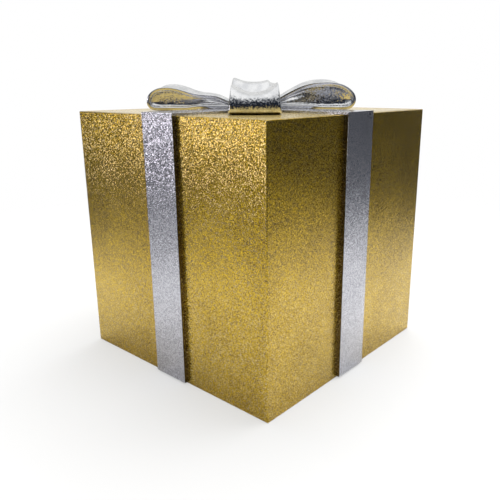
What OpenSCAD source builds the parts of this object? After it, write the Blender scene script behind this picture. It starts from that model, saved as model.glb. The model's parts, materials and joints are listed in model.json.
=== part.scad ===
// Square gift box with a drop-in lid, four wall bands and a rigid four-loop bow.
// The origin is the middle of the base. +X is the right wall, -Y the front wall.

/* [Box] */
// Width of the box over its left and right walls
box_w = 150; // [140:1:240]
// Depth of the box over its front and back walls
box_d = 150; // [140:1:240]
// Height of the walls from the ground to the rim
box_h = 150; // [80:1:240]
// Thickness of the four wall boards
wall_t = 4; // [3:0.5:6]
// Thickness of the floor panel between the walls
floor_t = 4; // [3:0.5:8]
// Side of the square posts glued into the corners
post_side = 10; // [6:0.5:14]
// How far the lid ledges reach in from the walls
ledge_w = 8; // [5:0.5:12]
// Height of the lid ledges
ledge_h = 8; // [5:0.5:14]

/* [Lid] */
// Thickness of the lid panel
lid_t = 4; // [3:0.5:8]
// Clearance between the lid panel and each wall
lid_gap = 0.4; // [0.3:0.1:1]

/* [Bands] */
// Width of every band, like a 25 mm ribbon
band_w = 24.6; // [20:0.2:30]
// Thickness of the bands on the walls
band_t = 2.7; // [1.5:0.1:5]
// Thickness of the bands on the lid
lid_band_t = 1.4; // [1:0.1:3]
// Offset of the bands from the middle, towards the front right corner
band_shift = 2.5; // [0:0.5:10]
// Height of the wall bands' lower ends above the ground
band_lift = 1.3; // [0.5:0.1:6]

/* [Bow knot] */
// Turn of the bow from the diagonals, in degrees
bow_turn = 2.9; // [0:0.1:6]
// Width of the knot, across the bow from left to right
knot_w = 27; // [24:0.5:32]
// Depth of the knot from front to back
knot_d = 24; // [20:0.5:30]
// Height of the knot's raised left edge above the lid
knot_left_h = 19.6; // [18:0.1:26]
// Height of the saddle in the middle of the knot
knot_mid_h = 17.1; // [15:0.1:18]
// Height of the knot's raised right edge
knot_right_h = 17.9; // [17:0.1:24]
// Height of the lower fold beside the right edge
fold_h = 15; // [13:0.1:16]
// Width of that lower fold
fold_w = 5.5; // [4:0.1:7]
// Radius of the knot's upper front and back edges
knot_edge_r = 6; // [3:0.5:8]

/* [Bow loops] */
// Width of a loop at its end
ribbon_w = 28; // [24:0.5:34]
// Width of a loop where it leaves the knot
root_w = 13; // [10:0.5:18]
// Thickness of the rim round each loop's side recess
rim_t = 2.8; // [2:0.1:3.2]
// Thickness of the web between the two side recesses
web_t = 14; // [10:0.5:18]
// How far each side of a loop leans in at its top
side_lean = 1.6; // [0.5:0.1:3]
// Distance from the knot's middle to where the recesses start
recess_from = 21; // [20:0.5:26]
// Distance from the knot's middle to each loop's waist
waist_at = 28; // [27:0.5:31]
// Gap between the lid and the loops' drooping ends
droop_gap = 0.4; // [0.3:0.1:0.8]
// Depth of the rounded lower edge at a loop's end
heel_len = 4.5; // [4:0.1:6]
// Radius of a loop's corners, seen from above
tip_r = 4; // [2:0.5:6]
// Length of the left loop from the knot's middle
left_len = 63.3; // [58:0.1:66]
// Height of the left loop beside the knot, above the lid
left_root_h = 5.6; // [5.4:0.1:8]
// Height of the left loop at its waist
left_waist_h = 10.6; // [9.5:0.1:12]
// Height of the left loop's top
left_peak_h = 16; // [14.5:0.1:20]
// Distance from the left loop's top to its end
left_nose_len = 13.4; // [11:0.1:16]
// Height of the left loop's foremost line
left_nose_h = 6.2; // [5.5:0.1:8]
// Depth of the hollow along the left loop's top
left_hollow = 3; // [2:0.1:4]
// Length of the right loop from the knot's middle
right_len = 59.5; // [56:0.1:66]
// Height of the right loop beside the knot
right_root_h = 7.8; // [6:0.1:9]
// Height of the right loop at its waist
right_waist_h = 15; // [12:0.1:16]
// Height of the right loop's top
right_peak_h = 18.4; // [17:0.1:22]
// Distance from the right loop's top to its end
right_nose_len = 17; // [13:0.1:20]
// Height of the right loop's foremost line
right_nose_h = 8; // [6:0.1:9]
// Depth of the hollow along the right loop's top
right_hollow = 3; // [2:0.1:4]
// Length of the front and back loops from the knot's middle
cross_len = 59.5; // [56:0.1:66]
// Height of the front and back loops beside the knot
cross_root_h = 10; // [8:0.1:12]
// Height of the front and back loops at their waist
cross_waist_h = 14.5; // [12:0.1:15.5]
// Height of the front and back loops' top
cross_peak_h = 16.4; // [16:0.1:20]
// Distance from the top of the front and back loops to their ends
cross_nose_len = 17; // [13:0.1:20]
// Height of the foremost line of the front and back loops
cross_nose_h = 6.5; // [5.5:0.1:8]
// Depth of the hollow along the top of the front and back loops
cross_hollow = 5.6; // [3:0.1:6]

/* [Fasteners] */
// Diameter of the pegs that join the loops to the knot
peg_d = 3; // [2:0.1:3.4]
// Length of those pegs inside the knot
peg_len = 5; // [3:0.5:6]
// Clearance all round a peg or screw in its hole
pin_clear = 0.05; // [0.03:0.01:0.1]
// Thread diameter of the bow's screws
screw_d = 4; // [3:0.5:5]
// Distance between the two screws
screw_pitch = 13; // [12:0.5:14]
// Depth that the screws reach into the knot
screw_grip = 9; // [6:0.5:11]
// Diameter of the screw heads
screw_head_d = 7.6; // [6:0.1:9]
// Height of the screw heads
screw_head_h = 2.6; // [2:0.1:3.5]
// Clearance all round the screws in the lid
lid_hole_clear = 0.3; // [0.2:0.1:0.5]
// Outer diameter of the washers
washer_d = 10; // [9:0.5:11.5]
// Thickness of the washers
washer_t = 1; // [0.5:0.1:1.5]

/* [Hidden] */
$fn = 96;

gold = "goldenrod";
silver = "silver";
board = "burlywood";
steel = "slategray";

curve_steps = 12;
overcut = 1; // cutters run this far past the faces that they cut
inner_w = box_w - 2 * wall_t;
inner_d = box_d - 2 * wall_t;
lid_under = box_h - lid_t;
head_top = lid_under - washer_t;
bow_angle = 45 - bow_turn;
peg_z = lid_band_t + (left_root_h - lid_band_t) / 2;

// A loop may droop once its full width is past both lid bands.
clear_at = (band_w / 2 + ribbon_w / 2 * cos(bow_angle)) / sin(bow_angle) + 1;
droop_len = 4;

// Each loop: length, root height, waist height, waist slope, top height, nose length, nose height, hollow.
left_loop = [left_len, left_root_h, left_waist_h, 0, left_peak_h, left_nose_len, left_nose_h, left_hollow];
right_loop = [right_len, right_root_h, right_waist_h, 0.45, right_peak_h, right_nose_len, right_nose_h, right_hollow];
cross_loop = [cross_len, cross_root_h, cross_waist_h, 0.2, cross_peak_h, cross_nose_len, cross_nose_h, cross_hollow];

// Points of a curve from a to d that leaves a towards b and arrives from c.
function curve(a, b, c, d) = [
    for (i = [0 : curve_steps])
        let (t = i / curve_steps, s = 1 - t)
            s * s * s * a + 3 * s * s * t * b + 3 * s * t * t * c + t * t * t * d
];

// Points of an ellipse's quarter or other arc, from one angle to another.
function arc(centre, rx, ry, from, to) = [
    for (i = [0 : curve_steps])
        let (a = from + (to - from) * i / curve_steps)
            centre + [rx * cos(a), ry * sin(a)]
];

// Upper edge of a loop in its side view, from the knot out to the top.
function loop_rise(loop, root) =
    let (
        top = [loop[0] - loop[5], loop[4]],
        waist = [waist_at, loop[2]],
        slope = loop[3],
        first = waist_at - root,
        second = top[0] - waist_at
    )
    concat(
        curve([root, loop[1]],
              [root + first / 3, loop[1] + (loop[2] - loop[1]) * 0.75],
              waist - first / 3 * [1, slope], waist),
        curve(waist, waist + second / 3 * [1, slope], top - [second * 0.45, 0], top)
    );

// Side view of a loop: flat on the bands, drooping past them, round at the end.
function loop_side(loop, root) = concat(
    [[root, lid_band_t], [clear_at, lid_band_t], [clear_at + droop_len, droop_gap]],
    arc([loop[0] - heel_len, loop[6]], heel_len, loop[6] - droop_gap, -90, 0),
    arc([loop[0] - loop[5], loop[6]], loop[5], loop[4] - loop[6], 0, 90),
    [for (i = [2 * curve_steps + 1 : -1 : 0]) loop_rise(loop, root)[i]]
);

// Side view of the recess: the same lines, one rim further in.
function recess_side(loop, root) = concat(
    [[recess_from, lid_band_t + rim_t], [clear_at, lid_band_t + rim_t], [clear_at + droop_len, droop_gap + rim_t]],
    arc([loop[0] - heel_len, loop[6]], heel_len - rim_t, loop[6] - droop_gap - rim_t, -90, 0),
    arc([loop[0] - loop[5], loop[6]], loop[5] - rim_t, loop[4] - loop[6] - rim_t, 0, 90),
    [
        for (i = [2 * curve_steps + 1 : -1 : 0])
            let (p = loop_rise(loop, root)[i])
                if (p[0] > recess_from) p - [0, rim_t]
    ]
);

// Upper view of a loop, widening from the knot to its end.
function loop_plan(loop, root) =
    let (
        end = loop[0],
        half = ribbon_w / 2,
        edge = curve([root, root_w / 2], [root + (end - root) * 0.3, root_w / 2 + (half - root_w / 2) * 0.75],
                     [end - (end - root) * 0.4, half], [end - tip_r, half])
    )
    concat(
        edge,
        arc([end - tip_r, half - tip_r], tip_r, tip_r, 90, 0),
        arc([end - tip_r, tip_r - half], tip_r, tip_r, 0, -90),
        [for (i = [curve_steps : -1 : 0]) [edge[i][0], -edge[i][1]]]
    );

// Radius of a round hollow of the given depth across a loop's top.
function hollow_r(depth) = (pow(ribbon_w / 2 - side_lean, 2) + depth * depth) / (2 * depth);

module upright(length) {
    rotate([90, 0, 0])
        linear_extrude(length, center = true)
            children();
}

module at_bow() {
    translate([band_shift, -band_shift, box_h])
        rotate(bow_angle)
            children();
}

module hollow_round(loop, extra) {
    radius = hollow_r(loop[7]);
    translate([0, 0, loop[4] - loop[7] + radius])
        rotate([0, 90, 0])
            cylinder(r = radius + extra, h = loop[0] + overcut);
}

// Keeps what lies between a loop's two sides, which lean in towards the top.
module between_sides(loop) {
    rotate([90, 0, 90])
        linear_extrude(loop[0] + overcut)
            polygon([
                [-ribbon_w / 2, 0],
                [ribbon_w / 2, 0],
                [ribbon_w / 2 - side_lean, loop[4]],
                [side_lean - ribbon_w / 2, loop[4]]
            ]);
}

module peg(clear, length) {
    translate([0, 0, peg_z])
        rotate([0, 90, 0])
            cylinder(d = peg_d + 2 * clear, h = length);
}

// A loop that points along +X from the knot, with a blind recess in each side.
module bow_loop(loop, root) {
    color(silver) {
        difference() {
            intersection() {
                upright(ribbon_w)
                    polygon(loop_side(loop, root));
                linear_extrude(2 * loop[4])
                    polygon(loop_plan(loop, root));
                between_sides(loop);
            }
            hollow_round(loop, 0);
            for (side = [-1, 1])
                difference() {
                    translate([0, side * (web_t + ribbon_w) / 2, 0])
                        upright(ribbon_w)
                            polygon(recess_side(loop, root));
                    hollow_round(loop, rim_t);
                }
        }
        translate([root - peg_len, 0, 0])
            peg(0, peg_len);
    }
}

module at_screws() {
    for (side = [-1, 1])
        translate([band_shift + side * screw_pitch / 2, -band_shift, 0])
            children();
}

// One wall board along the front, mitred at both ends.
module wall(length, depth) {
    color(gold)
        linear_extrude(box_h)
            polygon([
                [-length / 2, -depth / 2],
                [length / 2, -depth / 2],
                [length / 2 - wall_t, wall_t - depth / 2],
                [wall_t - length / 2, wall_t - depth / 2]
            ]);
}

module corner_post(x_side, y_side) {
    color(board)
        translate([x_side * (inner_w - post_side) / 2, y_side * (inner_d - post_side) / 2, floor_t])
            linear_extrude(lid_under - floor_t)
                square(post_side, center = true);
}

// One ledge along the front wall, between two corner posts.
module lid_ledge(length, depth) {
    color(board)
        translate([post_side - length / 2, -depth / 2, lid_under - ledge_h])
            cube([length - 2 * post_side, ledge_w, ledge_h]);
}

// One band on the front wall; its middle lies at the given x.
module wall_band(depth, x) {
    color(silver)
        translate([x - band_w / 2, -depth / 2 - band_t, band_lift])
            cube([band_w, band_t, box_h - band_lift]);
}

module floor_panel() {
    color(board)
        translate([-inner_w / 2, -inner_d / 2, 0])
            cube([inner_w, inner_d, floor_t]);
}

module wall_front() { wall(box_w, box_d); }
module wall_right() { rotate(90) wall(box_d, box_w); }
module wall_back() { rotate(180) wall(box_w, box_d); }
module wall_left() { rotate(270) wall(box_d, box_w); }

module corner_post_front_left() { corner_post(-1, -1); }
module corner_post_front_right() { corner_post(1, -1); }
module corner_post_back_right() { corner_post(1, 1); }
module corner_post_back_left() { corner_post(-1, 1); }

module lid_ledge_front() { lid_ledge(inner_w, inner_d); }
module lid_ledge_right() { rotate(90) lid_ledge(inner_d, inner_w); }
module lid_ledge_back() { rotate(180) lid_ledge(inner_w, inner_d); }
module lid_ledge_left() { rotate(270) lid_ledge(inner_d, inner_w); }

module band_front() { wall_band(box_d, band_shift); }
module band_right() { rotate(90) wall_band(box_w, -band_shift); }
module band_back() { rotate(180) wall_band(box_d, -band_shift); }
module band_left() { rotate(270) wall_band(box_w, band_shift); }

module lid_panel() {
    color(gold)
        difference() {
            translate([lid_gap - inner_w / 2, lid_gap - inner_d / 2, lid_under])
                cube([inner_w - 2 * lid_gap, inner_d - 2 * lid_gap, lid_t]);
            at_screws()
                translate([0, 0, lid_under - overcut])
                    cylinder(d = screw_d + 2 * lid_hole_clear, h = lid_t + 2 * overcut);
        }
}

// The long lid band runs from the left band to the right one, under the knot.
module lid_band_long() {
    color(silver)
        difference() {
            translate([-box_w / 2 - band_t, -band_shift - band_w / 2, box_h])
                cube([box_w + 2 * band_t, band_w, lid_band_t]);
            at_screws()
                translate([0, 0, box_h - overcut])
                    cylinder(d = screw_d + 2 * lid_hole_clear, h = lid_band_t + 2 * overcut);
        }
}

// The two short lid bands butt against the long one.
module lid_band_front() {
    color(silver)
        translate([band_shift - band_w / 2, -box_d / 2 - band_t, box_h])
            cube([band_w, box_d / 2 + band_t - band_shift - band_w / 2, lid_band_t]);
}

module lid_band_back() {
    color(silver)
        translate([band_shift - band_w / 2, band_w / 2 - band_shift, box_h])
            cube([band_w, box_d / 2 + band_t + band_shift - band_w / 2, lid_band_t]);
}

// Front view of the knot: two raised edges, a saddle and a lower fold at the right.
function knot_front() =
    let (left = -knot_w / 2, right = knot_w / 2, step = knot_w / 2 - fold_w)
    concat(
        [[left, lid_band_t], [right, lid_band_t], [right, fold_h - 1], [right - 1, fold_h], [step + 1, fold_h]],
        curve([step, knot_right_h],
              [step * 0.3, knot_mid_h - 0.5],
              [left * 0.5, knot_mid_h - 0.9],
              [left + 1, knot_left_h]),
        [[left, knot_left_h - 2]]
    );

module bow_knot() {
    color(silver)
        at_bow()
            difference() {
                intersection() {
                    upright(knot_d)
                        polygon(knot_front());
                    rotate(90)
                        upright(knot_w)
                            polygon(concat(
                                [[-knot_d / 2, lid_band_t], [knot_d / 2, lid_band_t]],
                                arc([knot_d / 2 - knot_edge_r, knot_left_h - knot_edge_r],
                                    knot_edge_r, knot_edge_r, 0, 90),
                                arc([knot_edge_r - knot_d / 2, knot_left_h - knot_edge_r],
                                    knot_edge_r, knot_edge_r, 90, 180)
                            ));
                }
                for (side = [0 : 3])
                    rotate(90 * side)
                        translate([(side % 2 == 0 ? knot_w : knot_d) / 2 - peg_len - pin_clear, 0, 0])
                            peg(pin_clear, peg_len + overcut);
                rotate(-bow_angle)
                    for (side = [-1, 1])
                        translate([side * screw_pitch / 2, 0, 0])
                            cylinder(d = screw_d + 2 * pin_clear, h = lid_band_t + screw_grip + pin_clear);
            }
}

module bow_loop_right() { at_bow() bow_loop(right_loop, knot_w / 2); }
module bow_loop_back() { at_bow() rotate(90) bow_loop(cross_loop, knot_d / 2); }
module bow_loop_left() { at_bow() rotate(180) bow_loop(left_loop, knot_w / 2); }
module bow_loop_front() { at_bow() rotate(270) bow_loop(cross_loop, knot_d / 2); }

module bow_screws() {
    color(steel)
        at_screws() {
            translate([0, 0, head_top - screw_head_h])
                cylinder(d = screw_head_d, h = screw_head_h);
            translate([0, 0, head_top])
                cylinder(d = screw_d, h = box_h + lid_band_t + screw_grip - head_top);
        }
}

module bow_washers() {
    color(steel)
        at_screws()
            translate([0, 0, head_top])
                difference() {
                    cylinder(d = washer_d, h = washer_t);
                    translate([0, 0, -overcut])
                        cylinder(d = screw_d + 2 * lid_hole_clear, h = washer_t + 2 * overcut);
                }
}

floor_panel();
wall_front();
wall_right();
wall_back();
wall_left();
corner_post_front_left();
corner_post_front_right();
corner_post_back_right();
corner_post_back_left();
lid_ledge_front();
lid_ledge_right();
lid_ledge_back();
lid_ledge_left();
band_front();
band_right();
band_back();
band_left();
lid_panel();
lid_band_long();
lid_band_front();
lid_band_back();
bow_knot();
bow_loop_left();
bow_loop_right();
bow_loop_front();
bow_loop_back();
bow_screws();
bow_washers();
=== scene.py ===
import json
import math

import bmesh
import bpy
from mathutils import Matrix, Vector


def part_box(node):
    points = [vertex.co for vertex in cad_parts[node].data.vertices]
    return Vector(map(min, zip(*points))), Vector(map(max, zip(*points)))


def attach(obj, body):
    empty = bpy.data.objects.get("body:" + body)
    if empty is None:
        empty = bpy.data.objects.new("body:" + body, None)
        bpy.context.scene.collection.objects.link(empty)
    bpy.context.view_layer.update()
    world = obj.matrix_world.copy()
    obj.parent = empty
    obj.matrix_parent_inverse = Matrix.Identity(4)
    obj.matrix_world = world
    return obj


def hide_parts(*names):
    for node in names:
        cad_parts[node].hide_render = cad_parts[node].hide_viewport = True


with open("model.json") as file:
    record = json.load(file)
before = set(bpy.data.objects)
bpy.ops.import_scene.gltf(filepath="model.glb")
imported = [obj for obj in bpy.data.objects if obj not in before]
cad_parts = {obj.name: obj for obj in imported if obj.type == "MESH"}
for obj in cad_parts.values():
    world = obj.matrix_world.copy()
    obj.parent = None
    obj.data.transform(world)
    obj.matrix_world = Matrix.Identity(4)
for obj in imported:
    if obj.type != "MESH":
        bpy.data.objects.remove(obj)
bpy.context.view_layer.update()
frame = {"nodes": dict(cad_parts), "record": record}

mm = 0.001
scene = bpy.context.scene
slotOf = {part["node"]: part["material_slot"] for part in frame["record"]["subparts"]}
slotFinish = {}

# camera, lights, floor and surroundings

viewpoint = {
    "place": (0.2336, -0.2570, 0.1639),   # metres, worked out from the box's edges
    "azimuth": 40.88,   # degrees, as tilt and roll
    "tilt": 15.74,
    "roll": -0.18,
    "lens": 39.47,
    "sensor": 36,
    "shift": (-0.0378, -0.0178),
    "nearest": 0.01,   # metres; nothing closer is drawn
}


def placeCamera():
    azimuth, tilt, roll = (math.radians(viewpoint[key]) for key in ("azimuth", "tilt", "roll"))
    data = bpy.data.cameras.new("camera")
    data.lens = viewpoint["lens"]
    data.sensor_width = viewpoint["sensor"]
    data.shift_x, data.shift_y = viewpoint["shift"]
    data.clip_start = viewpoint["nearest"]
    camera = bpy.data.objects.new("camera", data)
    facing = Matrix.Rotation(azimuth, 3, "Z") @ Matrix.Rotation(math.pi / 2 - tilt, 3, "X")
    camera.rotation_euler = (facing @ Matrix.Rotation(roll, 3, "Z")).to_euler()
    camera.location = viewpoint["place"]
    scene.collection.objects.link(camera)
    scene.camera = camera


# lamps that only light matt surfaces leave their shine to the surroundings
lamps = {
    "overhead": {
        "from": (0.04, 0.22, 1.0),
        "distance": 1.1,
        "size": (0.9, 0.9),
        "watts": 16.6,
        "colour": (1, 1, 1),
        "shine": False,
    },
    "window": {
        "from": (-0.55, -0.835, 0.055),
        "distance": 1.25,
        "size": (0.85, 0.16),
        "watts": 1.35,
        "colour": (1, 0.95, 1),
        "shine": True,
    },
}
lampAim = Vector((0, 0, 80 * mm))   # about the middle of the box


def placeLamps():
    for name, lamp in lamps.items():
        data = bpy.data.lights.new(name, "AREA")
        data.shape = "RECTANGLE"
        data.size, data.size_y = lamp["size"]
        data.energy = lamp["watts"]
        data.color = lamp["colour"]
        light = bpy.data.objects.new(name, data)
        way = Vector(lamp["from"]).normalized()
        light.location = lampAim + way * lamp["distance"]
        light.rotation_euler = way.to_track_quat("Z", "Y").to_euler()
        light.visible_glossy = lamp["shine"]
        scene.collection.objects.link(light)


# small helpers for shader nodes

def addNode(tree, kind, defaults=(), **settings):
    node = tree.nodes.new(kind)
    for key, value in settings.items():
        setattr(node, key, value)
    for key, value in dict(defaults).items():
        node.inputs[key].default_value = value
    return node


def feed(tree, value, socket):
    if isinstance(value, bpy.types.NodeSocket):
        tree.links.new(value, socket)
    elif isinstance(value, tuple) and socket.type == "RGBA":
        socket.default_value = (*value, 1.0)
    else:
        socket.default_value = value


def calculate(tree, operation, a, b=None, clamp=False):
    node = addNode(tree, "ShaderNodeMath", operation=operation, use_clamp=clamp)
    feed(tree, a, node.inputs[0])
    if b is not None:
        feed(tree, b, node.inputs[1])
    return node.outputs[0]


def mixColours(tree, share, a, b):
    node = addNode(tree, "ShaderNodeMix", data_type="RGBA")
    for value, index in ((share, 0), (a, 6), (b, 7)):
        feed(tree, value, node.inputs[index])
    return node.outputs[2]


def mapRange(tree, value, *limits):
    # limits: from low, from high, to low, to high
    node = addNode(tree, "ShaderNodeMapRange", interpolation_type="SMOOTHSTEP")
    feed(tree, value, node.inputs[0])
    for limit, socket in zip(limits, node.inputs[1:5]):
        feed(tree, limit, socket)
    return node.outputs[0]


def newGroup(name, inputs, outputs):
    tree = bpy.data.node_groups.new(name, "ShaderNodeTree")
    for label, value in inputs.items():
        kind = "NodeSocketVector" if value is None else "NodeSocketFloat"
        socket = tree.interface.new_socket(label, in_out="INPUT", socket_type=kind)
        if value is not None:
            socket.default_value = value
    for label, kind in outputs.items():
        tree.interface.new_socket(label, in_out="OUTPUT", socket_type="NodeSocket" + kind)
    return tree, tree.nodes.new("NodeGroupInput").outputs, tree.nodes.new("NodeGroupOutput").inputs


def useGroup(tree, group, vector, **values):
    node = addNode(tree, "ShaderNodeGroup", node_tree=group)
    for label, value in values.items():
        feed(tree, value, node.inputs[label])
    tree.links.new(vector, node.inputs["Vector"])
    return node.outputs


def tiltNormal(tree, colour, amount):
    # leans the surface normal by a colour whose middle is grey
    centred = addNode(tree, "ShaderNodeVectorMath", {1: (0.5, 0.5, 0.5)}, operation="SUBTRACT")
    feed(tree, colour, centred.inputs[0])
    tilted = addNode(tree, "ShaderNodeVectorMath", operation="SCALE")
    feed(tree, centred.outputs[0], tilted.inputs[0])
    feed(tree, amount, tilted.inputs["Scale"])
    total = addNode(tree, "ShaderNodeVectorMath", operation="ADD")
    feed(tree, addNode(tree, "ShaderNodeNewGeometry").outputs["Normal"], total.inputs[0])
    feed(tree, tilted.outputs[0], total.inputs[1])
    unit = addNode(tree, "ShaderNodeVectorMath", operation="NORMALIZE")
    feed(tree, total.outputs[0], unit.inputs[0])
    return unit.outputs[0]


# spark is high on a few flakes only; a flake starts to be whitened at the first of the two limits and
# is whitest at the second: painted glint, standing in for the white glints of the low window lamp
flakeLook = {"sparkPower": 8.0, "glintLeanFrom": 0.5, "glintLeanTo": 0.95}


def makeFlakes():
    # flat flakes, each with its own brightness and tilt
    tree, source, sink = newGroup(
        "flakes",
        {"Vector": None, "Size": 0.6 * mm, "Tilt": 0.3},
        {"Shade": "Float", "Spark": "Float", "Lift": "Float", "Normal": "Vector"},
    )
    cells = addNode(tree, "ShaderNodeTexVoronoi", feature="F1", voronoi_dimensions="3D")
    feed(tree, source["Vector"], cells.inputs["Vector"])
    feed(tree, calculate(tree, "DIVIDE", 1.0, source["Size"]), cells.inputs["Scale"])
    parts = addNode(tree, "ShaderNodeSeparateColor")
    feed(tree, cells.outputs["Color"], parts.inputs[0])
    feed(tree, parts.outputs[0], sink["Shade"])
    feed(tree, calculate(tree, "POWER", parts.outputs[1], flakeLook["sparkPower"]), sink["Spark"])
    # the normal's z leans with this channel too, so the whitened flakes are those that lean upwards,
    # the ones that would glint with the low window lamp: painted glint
    glintLean = mapRange(tree, parts.outputs[2], flakeLook["glintLeanFrom"], flakeLook["glintLeanTo"], 0.0, 1.0)
    feed(tree, glintLean, sink["Lift"])
    feed(tree, tiltNormal(tree, cells.outputs["Color"], source["Tilt"]), sink["Normal"])
    return tree


cloudRange = (0.3, 0.7)   # the part of the noise that runs from a mottle's Low to its High


def makeMottle():
    # slow cloudy change over a surface
    tree, source, sink = newGroup(
        "mottle",
        {"Vector": None, "Size": 30 * mm, "Low": 0.9, "High": 1.1},
        {"Value": "Float"},
    )
    clouds = addNode(tree, "ShaderNodeTexNoise", {"Detail": 3.0})
    feed(tree, source["Vector"], clouds.inputs["Vector"])
    feed(tree, calculate(tree, "DIVIDE", 1.0, source["Size"]), clouds.inputs["Scale"])
    spread = mapRange(tree, clouds.outputs[0], *cloudRange, source["Low"], source["High"])
    feed(tree, spread, sink["Value"])
    return tree


def makeHammering():
    # small soft dents, as a changed normal
    tree, source, sink = newGroup(
        "hammering",
        {"Vector": None, "Size": 1.4 * mm, "Depth": 0.5},
        {"Normal": "Vector"},
    )
    dents = addNode(tree, "ShaderNodeTexNoise", {"Detail": 3.0, "Roughness": 0.65})
    feed(tree, source["Vector"], dents.inputs["Vector"])
    feed(tree, calculate(tree, "DIVIDE", 1.0, source["Size"]), dents.inputs["Scale"])
    feed(tree, tiltNormal(tree, dents.outputs["Color"], source["Depth"]), sink["Normal"])
    return tree


flakes = makeFlakes()
mottle = makeMottle()
hammering = makeHammering()


def newMaterial(name):
    material = bpy.data.materials.new(name)
    material.use_nodes = True
    tree = material.node_tree
    shader = next(node for node in tree.nodes if node.type == "BSDF_PRINCIPLED")
    return material, tree, shader.inputs, addNode(tree, "ShaderNodeTexCoord").outputs["Object"]


# finishes

glitter = {   # what all the glitter paints share
    "flakeSize": 0.33 * mm,
    "driftSize": 35 * mm,
    "drift": 0.06,   # slow change of shade, up and down
    "sparkGloss": 0.12,   # how much smoother the sparkling flakes are
    "coatRoughness": 0.14,
}
goldPaint = {
    **glitter,
    "name": "goldGlitterPaint",
    "deep": (0.12, 0.058, 0.001),
    "bright": (1.0, 0.67, 0.01),
    # painted glint: the whitish colour that bright, upward-leaning flakes are mixed towards, and how
    # far
    "paintedGlintWhite": (0.96, 0.90, 0.74),
    "paintedGlintStrength": 0.6,
    "tilt": 0.22,
    "roughness": 0.27,
    "metallic": 0.88,
    "coat": 0.4,
}
# the lid's top gets a copy of the gold paint, paler and more matt: painted light, standing in for the
# light that falls on the top
paintedLightLidGold = {
    **goldPaint,
    "name": "paintedLightLidGold",
    "deep": (0.28, 0.18, 0.03),
    "bright": (1.0, 0.76, 0.22),
    "metallic": 0.60,
}
# the sides of the bands on the walls get a darkened copy of the gold paint: painted shade, standing in
# for the shade on the sides beside the walls
paintedShadeSideGold = {
    **goldPaint,
    "name": "paintedShadeSideGold",
    "deep": (0.02, 0.013, 0.001),
    "bright": (0.12, 0.075, 0.004),
    "coat": 0.3,
}
silverPaint = {
    **glitter,
    "name": "silverGlitterPaint",
    "deep": (0.20, 0.20, 0.235),
    "bright": (0.86, 0.87, 0.93),
    # painted glint, as on the gold
    "paintedGlintWhite": (0.95, 0.94, 1.0),
    "paintedGlintStrength": 1.0,
    "tilt": 0.25,
    "roughness": 0.25,
    "metallic": 0.86,
    "coat": 0.6,
}


def glitterMaterial(paint):
    material, tree, shader, place = newMaterial(paint["name"])
    grain = useGroup(tree, flakes, place, Size=paint["flakeSize"], Tilt=paint["tilt"])
    change = paint["drift"]
    drift = useGroup(tree, mottle, place, Size=paint["driftSize"], Low=-change, High=change)
    share = calculate(tree, "ADD", grain["Shade"], drift["Value"], clamp=True)
    metal = mixColours(tree, share, paint["deep"], paint["bright"])
    # painted glint: bright flakes that lean upwards are whitened
    glintFlakes = calculate(tree, "MULTIPLY", grain["Lift"], share)
    paintedGlintWhite = calculate(tree, "MULTIPLY", glintFlakes, paint["paintedGlintStrength"])
    feed(tree, mixColours(tree, paintedGlintWhite, metal, paint["paintedGlintWhite"]), shader["Base Color"])
    gloss = calculate(tree, "MULTIPLY", grain["Spark"], paint["sparkGloss"])
    feed(tree, calculate(tree, "SUBTRACT", paint["roughness"], gloss), shader["Roughness"])
    feed(tree, grain["Normal"], shader["Normal"])
    shader["Metallic"].default_value = paint["metallic"]
    shader["Coat Weight"].default_value = paint["coat"]
    shader["Coat Roughness"].default_value = paint["coatRoughness"]
    return material


castSilver = {
    "bright": (0.88, 0.885, 0.89),
    "dull": (0.70, 0.71, 0.73),
    "roughness": 0.09,
    "dullRoughness": 0.08,   # added where it is dull
    "dullSize": 5 * mm,
    "dentSize": 0.9 * mm,
    "dentDepth": 0.8,
    "rimDepth": 0.25,   # the same on the rims, which are smoother
}


def castMaterial():
    material, tree, shader, place = newMaterial("castSilver")
    drift = useGroup(tree, mottle, place, Size=castSilver["dullSize"], Low=0.0, High=1.0)["Value"]
    feed(tree, mixColours(tree, drift, castSilver["dull"], castSilver["bright"]), shader["Base Color"])
    dullness = calculate(tree, "SUBTRACT", 1.0, drift)
    duller = calculate(tree, "MULTIPLY", dullness, castSilver["dullRoughness"])
    feed(tree, calculate(tree, "ADD", castSilver["roughness"], duller), shader["Roughness"])
    smoother = addNode(tree, "ShaderNodeAttribute", attribute_name="rim").outputs["Fac"]
    depth = mapRange(tree, smoother, 0.0, 1.0, castSilver["dentDepth"], castSilver["rimDepth"])
    dents = useGroup(tree, hammering, place, Size=castSilver["dentSize"], Depth=depth)
    feed(tree, dents["Normal"], shader["Normal"])
    shader["Metallic"].default_value = 1.0
    return material


rawBoard = {
    "light": (0.62, 0.47, 0.31),
    "dark": (0.45, 0.32, 0.19),
    "fibre": 1.1 * mm,
    "relief": 0.1 * mm,
    "roughness": 0.75,
}


def boardMaterial():
    material, tree, shader, place = newMaterial("rawBoard")
    fibres = addNode(tree, "ShaderNodeTexNoise", {"Scale": 1 / rawBoard["fibre"], "Detail": 4.0})
    feed(tree, place, fibres.inputs["Vector"])
    colour = mixColours(tree, fibres.outputs[0], rawBoard["dark"], rawBoard["light"])
    feed(tree, colour, shader["Base Color"])
    bump = addNode(tree, "ShaderNodeBump", {"Distance": rawBoard["relief"]})
    feed(tree, fibres.outputs[0], bump.inputs["Height"])
    feed(tree, bump.outputs[0], shader["Normal"])
    shader["Roughness"].default_value = rawBoard["roughness"]
    return material


platedSteel = {
    "dark": (0.50, 0.51, 0.53),
    "light": (0.64, 0.65, 0.67),
    "tintSize": 4 * mm,
    "smooth": 0.22,   # lowest and highest roughness
    "rough": 0.38,
    "smearSize": 2 * mm,
}


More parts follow.
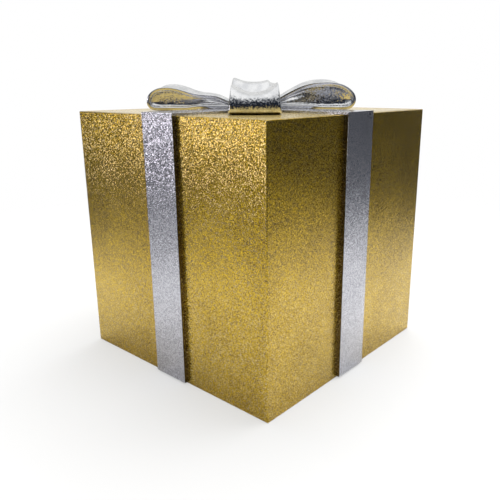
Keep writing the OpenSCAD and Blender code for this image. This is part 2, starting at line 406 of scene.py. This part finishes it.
def steelMaterial():
    material, tree, shader, place = newMaterial("platedSteel")
    low, high = platedSteel["smooth"], platedSteel["rough"]
    smear = useGroup(tree, mottle, place, Size=platedSteel["smearSize"], Low=low, High=high)["Value"]
    feed(tree, smear, shader["Roughness"])
    tint = useGroup(tree, mottle, place, Size=platedSteel["tintSize"], Low=0.0, High=1.0)["Value"]
    feed(tree, mixColours(tree, tint, platedSteel["dark"], platedSteel["light"]), shader["Base Color"])
    shader["Metallic"].default_value = 1.0
    return material


slotFinish["gold_glitter"] = glitterMaterial(goldPaint)
slotFinish["silver_glitter"] = glitterMaterial(silverPaint)
# painted light: the paler gold for the lid's top
paintedLightLidFinish = glitterMaterial(paintedLightLidGold)
# painted shade: the darkened gold for the bands' sides
paintedShadeStripSide = glitterMaterial(paintedShadeSideGold)
slotFinish["bow_silver"] = castMaterial()
slotFinish["bare_board"] = boardMaterial()
slotFinish["screw_steel"] = steelMaterial()

for nodeName, node in frame["nodes"].items():
    node.data.materials.clear()
    node.data.materials.append(slotFinish[slotOf[nodeName]])
print("finishes ready")


studio = {
    "floorRadius": 0.54,
    "floorSides": 96,
    "fadeFrom": 0.20,
    "floorColour": (0.86, 0.86, 0.86),
    "floorRoughness": 0.9,
    "floorShine": 0.1,
    "floorSeen": 0.45,   # how much of the floor's shade the camera sees against white
    # colours of the sky, from straight down at 0 over the horizon at 0.5 to straight up at 1
    "sky": (
        (0.38, (0.15, 0.155, 0.17)),
        (0.47, (0.004, 0.008, 0.018)),
        (0.59, (0.004, 0.008, 0.018)),
        (0.65, (0.07, 0.075, 0.09)),
        (0.74, (0.45, 0.46, 0.47)),
        (0.86, (1.0, 1.0, 1.0)),
    ),
    # a light wall behind the box, which fades in between these cosines and heights
    "behind": (0.80, 0.80, 0.79),
    "behindWay": (-0.66, 0.75, 0.0),
    "behindSide": (0.45, 0.75),
    "behindFoot": (-0.10, 0.0),
    "onMatt": 0.32,   # share of the surroundings' light that matt surfaces get
}


def buildFloor():
    bm = bmesh.new()
    sides, radius = studio["floorSides"], studio["floorRadius"]
    bmesh.ops.create_circle(bm, cap_ends=True, segments=sides, radius=radius)
    mesh = bpy.data.meshes.new("floor")
    bm.to_mesh(mesh)
    bm.free()
    floor = bpy.data.objects.new("floor", mesh)
    scene.collection.objects.link(floor)
    material, tree, shader, place = newMaterial("paleFloor")
    reach = addNode(tree, "ShaderNodeVectorMath", operation="LENGTH")
    feed(tree, place, reach.inputs[0])
    fade = mapRange(tree, reach.outputs["Value"], studio["fadeFrom"], radius, 1.0, 0.0)
    seen = addNode(tree, "ShaderNodeLightPath").outputs["Is Camera Ray"]
    thinner = calculate(tree, "MULTIPLY", seen, 1 - studio["floorSeen"])
    shown = calculate(tree, "SUBTRACT", 1.0, thinner)
    feed(tree, calculate(tree, "MULTIPLY", fade, shown), shader["Alpha"])
    feed(tree, studio["floorColour"], shader["Base Color"])
    shader["Roughness"].default_value = studio["floorRoughness"]
    shader["Specular IOR Level"].default_value = studio["floorShine"]
    mesh.materials.append(material)


def buildSurroundings():
    # dark towards the horizon, lighter above and behind; the camera itself sees plain white
    world = bpy.data.worlds.new("studio")
    scene.world = world
    world.use_nodes = True
    tree = world.node_tree
    tree.nodes.clear()
    way = addNode(tree, "ShaderNodeTexCoord").outputs["Generated"]
    parts = addNode(tree, "ShaderNodeSeparateXYZ")
    feed(tree, way, parts.inputs[0])
    ramp = addNode(tree, "ShaderNodeValToRGB")
    height = calculate(tree, "MULTIPLY", calculate(tree, "ADD", parts.outputs[2], 1.0), 0.5)
    feed(tree, height, ramp.inputs[0])
    stops = ramp.color_ramp.elements
    stops.remove(stops[-1])
    for index, (position, shade) in enumerate(studio["sky"]):
        stop = stops.new(position) if index else stops[0]
        stop.position = position
        stop.color = (*shade, 1)
    towards = addNode(tree, "ShaderNodeVectorMath", {1: studio["behindWay"]}, operation="DOT_PRODUCT")
    feed(tree, way, towards.inputs[0])
    back = mapRange(tree, towards.outputs["Value"], *studio["behindSide"], 0.0, 1.0)
    above = mapRange(tree, parts.outputs[2], *studio["behindFoot"], 0.0, 1.0)
    wall = calculate(tree, "MULTIPLY", back, above)
    colour = mixColours(tree, wall, ramp.outputs[0], studio["behind"])
    path = addNode(tree, "ShaderNodeLightPath").outputs
    around = addNode(tree, "ShaderNodeBackground")
    feed(tree, colour, around.inputs[0])
    matt = calculate(tree, "MULTIPLY", path["Is Diffuse Ray"], 1 - studio["onMatt"])
    feed(tree, calculate(tree, "SUBTRACT", 1.0, matt), around.inputs[1])
    seen = addNode(tree, "ShaderNodeBackground", {0: (1, 1, 1, 1)})
    mix = addNode(tree, "ShaderNodeMixShader")
    feed(tree, path["Is Camera Ray"], mix.inputs[0])
    feed(tree, around.outputs[0], mix.inputs[1])
    feed(tree, seen.outputs[0], mix.inputs[2])
    feed(tree, mix.outputs[0], addNode(tree, "ShaderNodeOutputWorld").inputs[0])
    scene.view_settings.view_transform = "Standard"


placeCamera()
placeLamps()
buildFloor()
buildSurroundings()
print("studio ready")


# small helpers for meshes

mergeWithin = 0.01 * mm
nearby = 0.1 * mm   # closer than this counts as at the same place
sharp = 0.5   # radians between two faces, past which their edge is rounded
facingWay = 0.9   # cosine, past which a face counts as facing that way
edgeSteps = 3   # strips to a rounded edge


def finishPiece(bm, name, body, replaced, rounds=0):
    # rounds: levels of subdivision surface, 0 leaves the mesh as it is
    bmesh.ops.remove_doubles(bm, verts=bm.verts[:], dist=mergeWithin)
    bmesh.ops.recalc_face_normals(bm, faces=bm.faces[:])
    mesh = bpy.data.meshes.new(name)
    bm.to_mesh(mesh)
    bm.free()
    slot = slotOf[replaced[0]]
    mesh.materials.append(slotFinish[slot])
    piece = bpy.data.objects.new(name, mesh)
    scene.collection.objects.link(piece)
    if rounds:
        smooth = piece.modifiers.new("smooth", "SUBSURF")
        smooth.levels = smooth.render_levels = rounds
    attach(piece, body)
    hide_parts(*replaced)
    return piece


def spanOf(names):
    corners = [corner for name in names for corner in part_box(name)]
    low = Vector([min(corner[axis] for corner in corners) for axis in range(3)])
    high = Vector([max(corner[axis] for corner in corners) for axis in range(3)])
    return low, high


def startBlock(low, high):
    bm = bmesh.new()
    bmesh.ops.create_cube(bm, size=1)
    bmesh.ops.scale(bm, vec=high - low, verts=bm.verts[:])
    bmesh.ops.translate(bm, vec=(low + high) / 2, verts=bm.verts[:])
    return bm


def roundEdges(bm, edges, radius):
    made = bmesh.ops.bevel(
        bm,
        geom=edges,
        offset=radius,
        offset_type="OFFSET",
        segments=edgeSteps,
        profile=0.5,
        affect="EDGES",
        material=-1,
        clamp_overlap=True,
    )
    for face in made["faces"]:
        face.smooth = True


def midpoint(edge):
    return (edge.verts[0].co + edge.verts[1].co) / 2


# walls: one hollow shell, cut along the mitres into four boards

walls = {
    "names": ("wall_front", "wall_right", "wall_back", "wall_left"),
    "edgeRadius": 0.45 * mm,
}


def buildWalls():
    low, high = spanOf(walls["names"])
    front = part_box("wall_front")
    thickness = front[1].y - front[0].y
    shell = startBlock(low, high)
    caps = [face for face in shell.faces if abs(face.normal.z) > facingWay]
    bmesh.ops.inset_individual(shell, faces=caps, thickness=thickness)
    bmesh.ops.delete(shell, geom=caps, context="FACES_ONLY")
    bmesh.ops.bridge_loops(shell, edges=[edge for edge in shell.edges if edge.is_boundary])
    bmesh.ops.recalc_face_normals(shell, faces=shell.faces[:])
    ridges = []
    for edge in shell.edges:
        upright = abs(edge.verts[0].co.z - edge.verts[1].co.z) > thickness
        inside = abs(midpoint(edge).x) < high.x - thickness / 2
        if edge.calc_face_angle(0) > sharp and not (upright and inside):
            ridges.append(edge)
    roundEdges(shell, ridges, walls["edgeRadius"])
    middle = (low + high) / 2
    for index, name in enumerate(walls["names"]):
        board = shell.copy()
        outward = Matrix.Rotation(index * math.pi / 2, 3, "Z") @ Vector((0, -1, 0))
        for side in (-1, 1):
            along = Vector((-outward.y, outward.x, 0)) * side
            corner = middle + (outward + along) * (high.x - low.x) / 2
            bmesh.ops.bisect_plane(
                board,
                geom=board.verts[:] + board.edges[:] + board.faces[:],
                dist=mergeWithin / 10,
                plane_co=corner,
                plane_no=(along - outward).normalized(),
                clear_outer=True,
            )
        bmesh.ops.holes_fill(board, edges=[edge for edge in board.edges if edge.is_boundary])
        for face in board.faces:
            face.material_index = int(face.normal.dot(outward) < -facingWay)
        piece = finishPiece(board, name + "Board", "box", (name,))
        piece.data.materials.append(slotFinish["bare_board"])
    shell.free()


# bands: strips with rounded outer edges, square where they meet the box and each other

bands = {
    "onWalls": ("band_front", "band_right", "band_back", "band_left"),
    "onLid": ("lid_band_long", "lid_band_front", "lid_band_back"),
    "edgeRadius": 0.12 * mm,
    # cosines that tell a side face from a band's front, back and ends
    "sideLean": (-0.5, 0.8),
    "sideRise": 0.5,
}


def buildWallBand(name):
    low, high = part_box(name)
    middle = (low + high) / 2
    outward = Vector((middle.x, middle.y, 0))
    outward = Vector((round(outward.x / outward.length), round(outward.y / outward.length), 0))
    front = middle.dot(outward) + abs((high - low).dot(outward)) / 2
    bm = startBlock(low, high)
    edges = [
        edge for edge in bm.edges
        if midpoint(edge).dot(outward) > front - nearby and midpoint(edge).z < high.z - nearby
    ]
    roundEdges(bm, edges, bands["edgeRadius"])
    lowest, highest = bands["sideLean"]
    # the side faces get the darkened gold: painted shade
    for face in bm.faces:
        sideways = lowest < face.normal.dot(outward) < highest
        face.material_index = int(sideways and abs(face.normal.z) < bands["sideRise"])
    strip = finishPiece(bm, name.replace("band_", "strip_"), "box", (name,))
    strip.data.materials.append(paintedShadeStripSide)


def buildLidBand(name):
    low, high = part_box(name)
    bm = startBlock(low, high)
    wide = high.x - low.x > high.y - low.y
    innerEnd = min(abs(low.y), abs(high.y))   # where a short band meets the long one
    edges = []
    for edge in bm.edges:
        spot = midpoint(edge)
        top = spot.z > high.z - nearby
        butts = not wide and abs(spot.y) < innerEnd + nearby
        if top and not butts:
            edges.append(edge)
    roundEdges(bm, edges, bands["edgeRadius"])
    finishPiece(bm, name.replace("band_", "strip_"), "lid", (name,))


# lid panel with its two screw holes

lid = {"edgeRadius": 0.3 * mm, "holeRadius": 2.3 * mm, "holeSides": 32}


def buildLid(spots):
    low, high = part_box("lid_panel")
    bm = bmesh.new()
    bmesh.ops.create_grid(bm, x_segments=1, y_segments=1, size=0.5)
    bmesh.ops.scale(bm, vec=high - low, verts=bm.verts[:])
    middle = (low + high) / 2
    bmesh.ops.translate(bm, vec=(middle.x, middle.y, low.z), verts=bm.verts[:])
    bmesh.ops.delete(bm, geom=bm.faces[:], context="FACES_ONLY")
    for spot in spots:
        hole = Matrix.Translation((spot.x, spot.y, low.z))
        bmesh.ops.create_circle(bm, segments=lid["holeSides"], radius=lid["holeRadius"], matrix=hole)
    bmesh.ops.triangle_fill(bm, edges=bm.edges[:], use_beauty=True)
    top = bmesh.ops.extrude_face_region(bm, geom=bm.faces[:])["geom"]
    topVerts = [item for item in top if isinstance(item, bmesh.types.BMVert)]
    bmesh.ops.translate(bm, vec=(0, 0, high.z - low.z), verts=topVerts)
    bmesh.ops.recalc_face_normals(bm, faces=bm.faces[:])
    rim = []
    for edge in bm.edges:
        spot = midpoint(edge)
        outside = abs(spot.x) > high.x - nearby or abs(spot.y) > high.y - nearby
        if outside and edge.calc_face_angle(0) > sharp:
            rim.append(edge)
    roundEdges(bm, rim, lid["edgeRadius"])
    for face in bm.faces:
        face.material_index = int(face.normal.z < -facingWay)
    board = finishPiece(bm, "lidBoard", "lid", ("lid_panel",))
    # the lid's top gets the paler gold: painted light
    board.data.materials[0] = paintedLightLidFinish
    board.data.materials.append(slotFinish["bare_board"])


# bow: four loops and a knot, modelled in millimetres round the crossing

bow = {
    "turn": 42.1,   # degrees from the box's x to the right loop
    "base": 1.5,   # height of the bands under it
}


def bowPlace(turn=0):
    # from the bow's own millimetres, x along the right loop, to the box's metres
    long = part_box("lid_band_long")
    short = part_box("lid_band_front")
    spot = Vector(((short[0].x + short[1].x) / 2, (long[0].y + long[1].y) / 2, long[0].z))
    turned = Matrix.Rotation(math.radians(bow["turn"] + turn), 4, "Z")
    return Matrix.Translation(spot) @ turned @ Matrix.Scale(mm, 4)


curveSteps = 12   # fine steps between two given points


def smoothPath(points, count):
    # evenly spaced points on a smooth curve through the given ones
    path = [Vector(point) for point in points]
    ends = [2 * path[0] - path[1], *path, 2 * path[-1] - path[-2]]
    dense = [path[0]]
    for a, b, c, d in zip(ends, ends[1:], ends[2:], ends[3:]):
        for step in range(1, curveSteps + 1):
            t = step / curveSteps
            bend = (c - a) * t + (2 * a - 5 * b + 4 * c - d) * t ** 2 + (3 * b - a - 3 * c + d) * t ** 3
            dense.append(b + bend / 2)
    reach = [0.0]
    for a, b in zip(dense, dense[1:]):
        reach.append(reach[-1] + (b - a).length)
    spots = []
    at = 0
    for index in range(count + 1):
        goal = reach[-1] * index / count
        while at < len(reach) - 2 and reach[at + 1] < goal:
            at += 1
        share = (goal - reach[at]) / (reach[at + 1] - reach[at])
        spots.append(dense[at].lerp(dense[at + 1], min(share, 1)))
    return spots


def ease(value, start, end):
    share = max(0.0, min(1.0, (value - start) / (end - start)))
    return share * share * (3 - 2 * share)


def startRing(bm, spots):
    ring = [bm.verts.new(spot) for spot in spots]
    for pair in zip(ring, ring[1:] + ring[:1]):
        bm.edges.new(pair)
    return ring


def edgesOf(bm, ring):
    return [bm.edges.get(pair) for pair in zip(ring, ring[1:] + ring[:1])]


def extrudeRing(bm, ring, spots):
    made = bmesh.ops.extrude_edge_only(bm, edges=edgesOf(bm, ring))["geom"]
    fresh = {item for item in made if isinstance(item, bmesh.types.BMVert)}
    following = []
    for vert, spot in zip(ring, spots):
        others = [edge.other_vert(vert) for edge in vert.link_edges]
        partner = next(other for other in others if other in fresh)
        partner.co = spot
        following.append(partner)
    return following


loopShape = {
    "stations": 18,   # steps along the loop
    "across": (0.22, 0.44, 0.64, 0.80, 0.90, 0.955),   # lines across half the ribbon
    "width": 28.6,
    "rootWidth": 14.0,
    "widenFrom": 4,
    "widenTo": 0.72,   # share of the loop's length
    "rootLean": 2.4,
    "leanFade": (20, 38),
    "endRounding": 0.4,
    "endReach": 4,
    "hollowPower": 2.3,   # higher keeps the hollow flat and its sides steep
    "rollAt": 14,   # distance from the middle line at which a loop's roll is measured
    # low folds along the upper side, near the knot
    "foldHeight": 0.45,
    "foldPitch": 9.4,
    "foldFade": (20, 40),
    "foldAbove": 4,
    # inwards from the outline, and deeper into the side
    "upperRim": ((0.5, -0.05), (1.0, 0.0), (1.95, 0.3), (2.2, 0.5), (2.4, 1.4)),
    "lowerRim": ((0.4, 0.5), (1.1, 0.15), (1.7, 0.0), (2.0, 0.15), (2.3, 0.7)),
    # share of the way from the rim to the crease, and depth
    "upperWeb": ((0.03, 2.4), (0.14, 2.2), (0.4, 2.65), (0.72, 2.95), (1.0, 2.85)),
    "lowerWeb": ((0.05, 1.2), (0.12, 1.8), (0.28, 2.5), (0.6, 2.8), (1.0, 2.85)),
    # how the web is gathered into pleats towards the knot
    "pleats": (0.0, -0.3, 0.7, -0.8, 0.0),
    "pleatFade": (22, 38),
    "pleatShallow": 0.4,
}
sideLoop = {"roll": 0.9, "lean": -1.2, "hollow": 3.0, "dipFrom": 6.0}
frontLoop = {
    "lean": 2.4,
    "hollow": 5.0,
    "dipFrom": 8.0,
    "top": ((9, 9.6), (14, 11.6), (20, 13.6), (28, 14.8), (36, 15.7), (44, 16.2),
            (50, 16.0), (54.5, 15.2), (57.3, 13.2), (58.8, 10.2), (59.5, 7.0), (59.8, 4.2)),
    "bottom": ((9, 1.5), (20, 1.5), (33, 1.5), (38, 0.6), (46, 0.4), (55, 0.35),
               (58.9, 0.4), (59.6, 1.6), (59.8, 4.2)),
    "crease": ((9, 4.6), (18, 4.8), (30, 5.0), (42, 5.4), (49, 5.8), (53.5, 6.4)),
}
# top, bottom and crease run outwards from the knot; a roll above 0 lowers the side that near names
loops = {
    "bow_loop_right": {
        **sideLoop,
        "turn": 0,
        "near": -1,
        "top": ((10, 6.0), (14, 8.0), (17.5, 10.2), (22.7, 13.0), (28.5, 15.7), (34.3, 17.2),
                (40.1, 17.7), (46, 17.5), (51.9, 16.0), (56, 13.2), (58.6, 10.0), (59.4, 7.0)),
        "bottom": ((10, 1.5), (20, 1.5), (33, 1.5), (38, 0.7), (46, 0.6), (53, 0.6),
                   (57.0, 1.8), (58.8, 4.0), (59.4, 7.0)),
        "crease": ((10, 3.6), (18, 4.3), (29.3, 4.9), (43.5, 5.6), (50, 6.2), (54.0, 6.9)),
    },
    "bow_loop_left": {
        **sideLoop,
        "turn": 180,
        "near": 1,
        "top": ((10, 5.4), (14, 6.0), (17.5, 7.2), (20.5, 8.8), (24.5, 9.9), (29.4, 10.3),
                (35.1, 11.0), (40.8, 13.0), (46.4, 14.6), (52.1, 15.1), (57, 14.3), (60.8, 11.7),
                (62.8, 8.2), (63.2, 5.2)),
        "bottom": ((10, 1.5), (20, 1.5), (33, 1.5), (38, 0.7), (46, 0.6), (56, 0.6),
                   (60.3, 1.0), (62.4, 2.6), (63.2, 5.2)),
        "crease": ((10, 3.4), (18, 3.8), (26, 4.6), (36, 4.4), (45, 5.0), (52, 5.2), (57.5, 5.8)),
    },
    "bow_loop_front": {**frontLoop, "turn": 270, "near": 1, "roll": -0.5},
    "bow_loop_back": {**frontLoop, "turn": 90, "near": -1, "roll": 0.5},
}


def halfWidth(loop, u, z, end, peak):
    # the ribbon widens from the knot, leans in upwards and rounds off at its end
    root = loopShape["rootWidth"] / 2
    widening = ease(u, loopShape["widenFrom"], end * loopShape["widenTo"])
    half = root + (loopShape["width"] / 2 - root) * widening
    rounding = loopShape["endRounding"] * ease(u, end - loopShape["endReach"], end) ** 2
    rootLean = loopShape["rootLean"]
    lean = rootLean + (loop["lean"] - rootLean) * ease(u, *loopShape["leanFade"])
    return half - rounding - lean * max(z, 0) / peak


def buildLoop(name, loop):
    stations = loopShape["stations"]
    top = smoothPath(loop["top"], stations)
    bottom = smoothPath(loop["bottom"], stations)
    crease = smoothPath(loop["crease"], stations)
    outline = top + bottom[-2::-1]
    goals = crease + crease[-2::-1]
    count = len(outline)
    end = max(spot.x for spot in outline)
    peak = max(spot.y for spot in outline)
    inwards = []
    for index in range(count):
        run = outline[(index + 1) % count] - outline[index - 1]
        inwards.append(Vector((run.y, -run.x)).normalized())

    def spotAt(point, across, depth, onTop):
        u, z = point
        w = across * (halfWidth(loop, u, z, end, peak) - depth)
        if onTop:
            sag = loop["hollow"] * ease(z, loop["dipFrom"], peak)
            z -= sag * (1 - abs(across) ** loopShape["hollowPower"])
            if z > loopShape["foldAbove"]:
                gathered = loopShape["foldHeight"] * (1 - ease(u, *loopShape["foldFade"]))
                z += gathered * math.cos(across * loopShape["foldPitch"]) * (1 - abs(across))
        z -= loop["near"] * loop["roll"] * w / loopShape["rollAt"] * max(z, 0) / peak
        return Vector((u, w, z))

    def lineAlong(across):
        return [spotAt(point, across, 0, index <= stations) for index, point in enumerate(outline)]

    bm = bmesh.new()
    polish = bm.verts.layers.float.new("rim")
    middle = startRing(bm, lineAlong(0))
    for side in (-1, 1):
        ring = middle
        for across in loopShape["across"]:
            ring = extrudeRing(bm, ring, lineAlong(side * across))
        for upper, lower in zip(loopShape["upperRim"], loopShape["lowerRim"]):
            spots = []
            opening = []
            for point, inward in zip(outline, inwards):
                offset, depth = Vector(upper).lerp(Vector(lower), inward.y / 2 + 0.5)
                opening.append(point + inward * offset)
                spots.append(spotAt(opening[-1], side, depth, False))
            ring = extrudeRing(bm, ring, spots)
            for vert in ring:
                vert[polish] = 1
        webs = zip(loopShape["upperWeb"], loopShape["lowerWeb"], loopShape["pleats"])
        for upper, lower, pleat in webs:
            spots = []
            for start, goal, inward in zip(opening, goals, inwards):
                share, depth = Vector(upper).lerp(Vector(lower), inward.y / 2 + 0.5)
                point = start.lerp(goal, share)
                gathered = 1 - ease(point.x, *loopShape["pleatFade"])
                shallow = 1 - loopShape["pleatShallow"] * gathered
                spots.append(spotAt(point, side, depth * shallow + pleat * gathered, False))
            ring = extrudeRing(bm, ring, spots)
            for vert in ring:
                vert[polish] = 0
    for face in bm.faces:
        face.smooth = True
    bmesh.ops.transform(bm, matrix=bowPlace(loop["turn"]), verts=bm.verts[:])
    finishPiece(bm, name.replace("bow_", "") + "Cast", "lid", (name,), rounds=2)


knot = {
    # x across, height, and how far it reaches to the front and back
    "rings": ((-13.5, 16.6, 0.90), (-13.3, 18.8, 0.96), (-12.2, 19.5, 1.0), (-10.4, 18.8, 0.99),
              (-7.5, 17.5, 0.96), (-3.5, 16.8, 0.94), (0, 16.7, 0.93), (3.5, 16.9, 0.94),
              (6.2, 17.5, 0.96), (7.8, 17.9, 0.98), (8.7, 17.2, 0.98), (9.3, 16.3, 0.95),
              (10.6, 16.0, 0.96), (12.3, 15.7, 0.97), (13.3, 14.6, 0.94), (13.5, 12.4, 0.88)),
    # half of the arch over the bands, as reach and height, before each ring scales it
    "arch": ((12.4, 1.5), (12.6, 5.0), (11.9, 9.0), (10.3, 12.6), (7.9, 15.8), (4.7, 17.9), (0, 18.7)),
    "archSteps": 8,
    "endInset": 1.6,
    "endDish": 0.8,
}


def buildKnot():
    half = smoothPath(knot["arch"], knot["archSteps"])
    arch = half + [Vector((-spot.x, spot.y)) for spot in half[-2::-1]]
    bm = bmesh.new()
    ring = None
    base = bow["base"]
    for x, height, reach in knot["rings"]:
        tall = height / knot["arch"][-1][1]
        spots = [Vector((x, spot.x * reach, base + (spot.y - base) * tall)) for spot in arch]
        ring = extrudeRing(bm, ring, spots) if ring else startRing(bm, spots)
    bmesh.ops.holes_fill(bm, edges=[edge for edge in bm.edges if edge.is_boundary])
    ends = [face for face in bm.faces if len(face.verts) > 4]
    bmesh.ops.inset_individual(bm, faces=ends, thickness=knot["endInset"], depth=-knot["endDish"])
    for face in bm.faces:
        face.smooth = True
    bmesh.ops.transform(bm, matrix=bowPlace(), verts=bm.verts[:])
    finishPiece(bm, "knotCast", "lid", ("bow_knot",), rounds=2)


# screws and washers inside the lid

screws = {
    "pitch": 13.0,
    "cross": 1.5,   # half the recess's width
    "crossAngle": 15,   # from the middle of an arm to its corner, seen from the screw's axis
    "crossSteps": 3,   # ring points to each of the cross's twelve edges
    "recess": 1.4,
    "recessRim": 0.02,
    "head": ((2.4, 0.05), (3.2, 0.35), (3.65, 0.9), (3.8, 1.6)),   # radius and height of the pan head
    "shaft": 2.0,
    "tip": 1.2,
    "tipLength": 1.0,
}
washers = {"hole": 2.2, "chamfer": 0.12, "sides": 48}


def screwSpots():
    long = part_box("lid_band_long")
    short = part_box("lid_band_front")
    x = (short[0].x + short[1].x) / 2
    y = (long[0].y + long[1].y) / 2
    return [Vector((x + side * screws["pitch"] * mm / 2, y, 0)) for side in (-1, 1)]


def crossOutline():
    # a cross recess seen from above
    wide = screws["cross"]
    narrow = wide * math.tan(math.radians(screws["crossAngle"]))
    arm = ((wide, -narrow), (wide, narrow), (narrow, narrow))
    corners = []
    for quarter in range(4):
        turn = Matrix.Rotation(quarter * math.pi / 2, 2)
        corners += [turn @ Vector(point) for point in arm]
    steps = screws["crossSteps"]
    edges = zip(corners, corners[1:] + corners[:1])
    return [start.lerp(end, step / steps) for start, end in edges for step in range(steps)]


def buildScrews(spots):
    low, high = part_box("bow_screws")
    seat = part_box("bow_washers")[0].z
    headHeight = (seat - low.z) / mm
    length = (high.z - low.z) / mm
    cross = crossOutline()
    bm = bmesh.new()
    for spot in spots:
        frameOf = Matrix.Translation((spot.x, spot.y, low.z)) @ Matrix.Scale(mm, 4)

        def lay(outline, height):
            return [frameOf @ Vector((point.x, point.y, height)) for point in outline]

        def disc(radius):
            # as many points as the cross, and starting beside its first corner
            turns = [screws["crossAngle"] - 360 * step / len(cross) for step in range(len(cross))]
            return [Vector((radius, 0)) @ Matrix.Rotation(math.radians(turn), 2) for turn in turns]

        ring = startRing(bm, lay(cross, screws["recess"]))
        bm.faces.new(ring)
        ring = extrudeRing(bm, ring, lay(cross, screws["recessRim"]))
        for radius, height in screws["head"]:
            ring = extrudeRing(bm, ring, lay(disc(radius), height))
        for radius, height in (
            (screws["head"][-1][0], headHeight),
            (screws["shaft"], headHeight),
            (screws["shaft"], length - screws["tipLength"]),
            (screws["tip"], length),
        ):
            ring = extrudeRing(bm, ring, lay(disc(radius), height))
        bmesh.ops.holes_fill(bm, edges=[edge for edge in bm.edges if edge.is_boundary])
    finishPiece(bm, "bowScrews", "lid", ("bow_screws",))


def buildWashers(spots):
    low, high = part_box("bow_washers")
    outer = (high.y - low.y) / 2
    inner = washers["hole"] * mm
    cut = washers["chamfer"] * mm
    profile = (
        (inner, low.z),
        (outer - cut, low.z),
        (outer, low.z + cut),
        (outer, high.z - cut),
        (outer - cut, high.z),
        (inner, high.z),
    )
    bm = bmesh.new()
    for spot in spots:
        ring = startRing(bm, [Vector((spot.x + radius, spot.y, height)) for radius, height in profile])
        bmesh.ops.spin(
            bm,
            geom=ring + edgesOf(bm, ring),
            cent=spot,
            axis=(0, 0, 1),
            angle=2 * math.pi,
            steps=washers["sides"],
            use_merge=True,
        )
    finishPiece(bm, "bowWashers", "lid", ("bow_washers",))


screwPlaces = screwSpots()
buildWalls()
for bandName in bands["onWalls"]:
    buildWallBand(bandName)
for bandName in bands["onLid"]:
    buildLidBand(bandName)
buildLid(screwPlaces)
buildScrews(screwPlaces)
buildWashers(screwPlaces)
print("box and lid ready")
for loopName, loop in loops.items():
    buildLoop(loopName, loop)
buildKnot()
print("bow ready")
